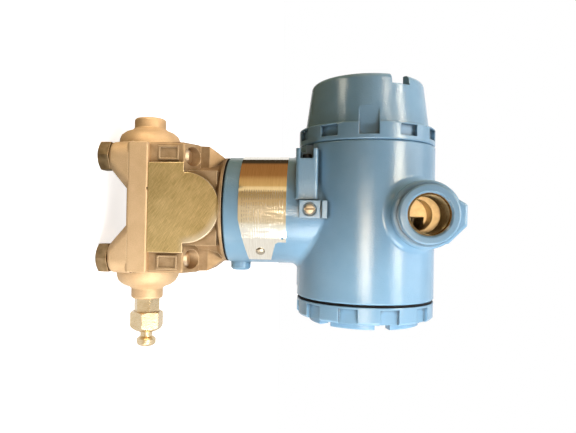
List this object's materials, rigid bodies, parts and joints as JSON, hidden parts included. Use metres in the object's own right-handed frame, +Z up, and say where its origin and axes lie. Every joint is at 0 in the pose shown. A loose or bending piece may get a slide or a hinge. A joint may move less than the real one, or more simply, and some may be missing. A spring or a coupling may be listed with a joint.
{
  "type": "pressure transmitter",
  "caption": "Pressure transmitter with a bolted steel flange and sensor module, a vent valve, and a turnable painted housing with screw covers and conduit entries.",
  "frame": {"origin": "midway between the two process ports, on the plane of their pads, where the bolt heads seat", "axes": "+Z up along the neck, +Y towards the terminal cover and the vent valve, -Y towards the display cover, +X out of the open conduit entry"},
  "size_m": [0.104, 0.1582, 0.1999],
  "materials": {
    "cast_steel": "satin",
    "bolt_steel": "satin",
    "valve_steel": "polished",
    "plug_steel": "satin",
    "diaphragm_steel": "polished",
    "gasket_plastic": "matte",
    "seal_rubber": "matte",
    "ball_ceramic": "polished",
    "blue_paint": "satin",
    "plate_steel": "satin",
    "screw_steel": "satin",
    "dark_screw_steel": "satin",
    "clamp_brass": "satin",
    "block_plastic": "matte",
    "can_plastic": "matte",
    "board_laminate": "satin",
    "display_plastic": "matte",
    "display_glass": "gloss",
    "window_glass": "polished",
    "ring_aluminium": "satin"
  },
  "bodies": {
    "sensor": {"flange": "cast_steel", "flange_bolts": "bolt_steel", "process_gaskets": "gasket_plastic", "isolator_diaphragms": "diaphragm_steel", "sensor_module": "cast_steel", "neck_seal": "seal_rubber", "vent_valve_seat": "valve_steel", "vent_valve_nut": "valve_steel", "drain_plug": "plug_steel"},
    "housing": {"housing": "blue_paint", "conduit_plug": "plug_steel", "nameplate": "plate_steel", "nameplate_screws": "screw_steel", "ground_screw": "screw_steel", "cover_lock_screws": "dark_screw_steel", "rotation_screw": "dark_screw_steel", "terminal_block": "block_plastic", "terminal_clamps": "clamp_brass", "terminal_screws": "screw_steel", "terminal_block_screws": "screw_steel", "electronics_can": "can_plastic", "electronics_board": "board_laminate", "board_screws": "screw_steel", "display_body": "display_plastic", "display_panel": "display_glass"},
    "display_cover_seal": {"display_cover_seal": "seal_rubber"},
    "display_cover": {"display_cover": "blue_paint", "display_window": "window_glass", "window_gasket": "seal_rubber", "window_ring": "ring_aluminium"},
    "terminal_cover_seal": {"terminal_cover_seal": "seal_rubber"},
    "terminal_cover": {"terminal_cover": "blue_paint"},
    "vent_ball": {"vent_ball": "ball_ceramic"},
    "vent_stem": {"vent_stem": "valve_steel"}
  },
  "joints": [
    {"name": "housing_turn", "type": "hinge", "parent": "sensor", "child": "housing", "pos_m": [0, 0, 0.0662], "axis": [0, 0, 1], "range_deg": [-180, 180]},
    {"name": "display_cover_travel", "type": "slide", "parent": "housing", "child": "display_cover_seal", "axis": [0, -1, 0], "range_m": [0, 0.012]},
    {"name": "display_cover_turn", "type": "hinge", "parent": "display_cover_seal", "child": "display_cover", "pos_m": [0, -0.0372, 0.1462], "axis": [0, -1, 0], "range_deg": [0, 2160]},
    {"name": "terminal_cover_travel", "type": "slide", "parent": "housing", "child": "terminal_cover_seal", "axis": [0, 1, 0], "range_m": [0, 0.012]},
    {"name": "terminal_cover_turn", "type": "hinge", "parent": "terminal_cover_seal", "child": "terminal_cover", "pos_m": [0, 0.051, 0.1462], "axis": [0, 1, 0], "range_deg": [0, 2160]},
    {"name": "vent_stem_travel", "type": "slide", "parent": "sensor", "child": "vent_ball", "axis": [0, 1, 0], "range_m": [0, 0.002]},
    {"name": "vent_stem_turn", "type": "hinge", "parent": "vent_ball", "child": "vent_stem", "pos_m": [0, 0.0788, 0.0151], "axis": [0, 1, 0], "range_deg": [0, 720]}
  ],
  "couplings": [
    {"joint": "display_cover_travel", "follows": "display_cover_turn", "m_per_rad": 0.0003183},
    {"joint": "terminal_cover_travel", "follows": "terminal_cover_turn", "m_per_rad": 0.0003183},
    {"joint": "vent_stem_turn", "follows": "vent_stem_travel", "rad_per_m": 6283.2}
  ]
}
